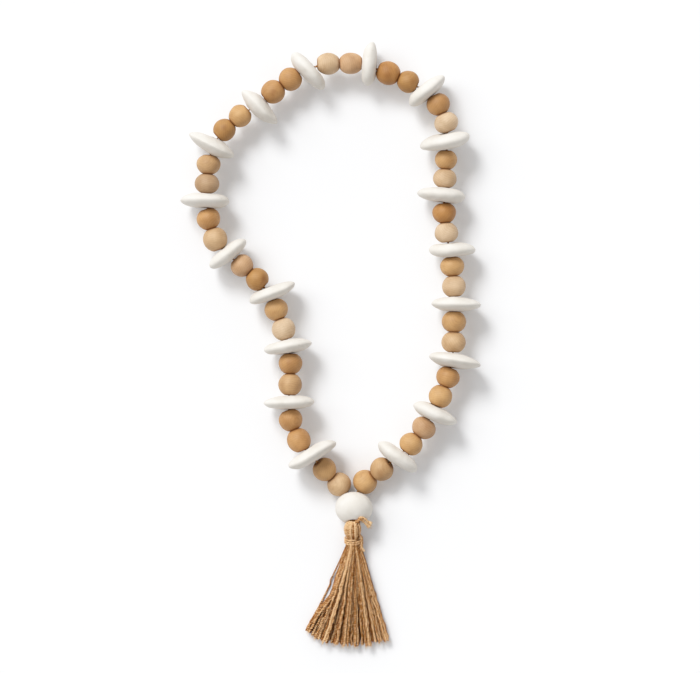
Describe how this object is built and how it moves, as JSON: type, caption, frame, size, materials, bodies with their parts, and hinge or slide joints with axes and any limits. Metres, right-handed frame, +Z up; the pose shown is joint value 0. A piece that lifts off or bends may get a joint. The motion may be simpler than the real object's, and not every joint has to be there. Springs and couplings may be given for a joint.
{
  "type": "wood bead garland with a tassel",
  "caption": "Loop of turned wood beads and matte white discs on a jute string, closed by a large white bead with a jute tassel, lying flat.",
  "frame": {"origin": "on the surface it lies on, under the middle of the whole piece", "axes": "+X to the right as seen from above with the tassel towards the viewer, +Y from the tassel to the top of the loop, +Z up"},
  "size_m": [0.2561, 0.5134, 0.0451],
  "materials": {
    "wood": "sanded raw wood, each bead its own tone",
    "white": "matte chalky off-white paint",
    "jute": "twisted natural jute yarn, hairy"
  },
  "bodies": {
    "root": {"wood_bead_01": "wood", "wood_bead_02": "wood", "wood_bead_03": "wood", "wood_bead_04": "wood", "wood_bead_05": "wood", "wood_bead_06": "wood", "wood_bead_07": "wood", "wood_bead_08": "wood", "wood_bead_09": "wood", "wood_bead_10": "wood", "wood_bead_11": "wood", "wood_bead_12": "wood", "wood_bead_13": "wood", "wood_bead_14": "wood", "wood_bead_15": "wood", "wood_bead_16": "wood", "wood_bead_17": "wood", "wood_bead_18": "wood", "wood_bead_19": "wood", "wood_bead_20": "wood", "wood_bead_21": "wood", "wood_bead_22": "wood", "wood_bead_23": "wood", "wood_bead_24": "wood", "wood_bead_25": "wood", "wood_bead_26": "wood", "wood_bead_27": "wood", "wood_bead_28": "wood", "wood_bead_29": "wood", "wood_bead_30": "wood", "wood_bead_31": "wood", "wood_bead_32": "wood", "wood_bead_33": "wood", "wood_bead_34": "wood", "wood_bead_35": "wood", "wood_bead_36": "wood", "wood_bead_37": "wood", "wood_bead_38": "wood", "disc_01": "white", "disc_02": "white", "disc_03": "white", "disc_04": "white", "disc_05": "white", "disc_06": "white", "disc_07": "white", "disc_08": "white", "disc_09": "white", "disc_10": "white", "disc_11": "white", "disc_12": "white", "disc_13": "white", "disc_14": "white", "disc_15": "white", "disc_16": "white", "disc_17": "white", "disc_18": "white", "large_bead": "white", "string": "jute", "tassel": "jute", "neck_wrap": "jute"}
  },
  "joints": []
}
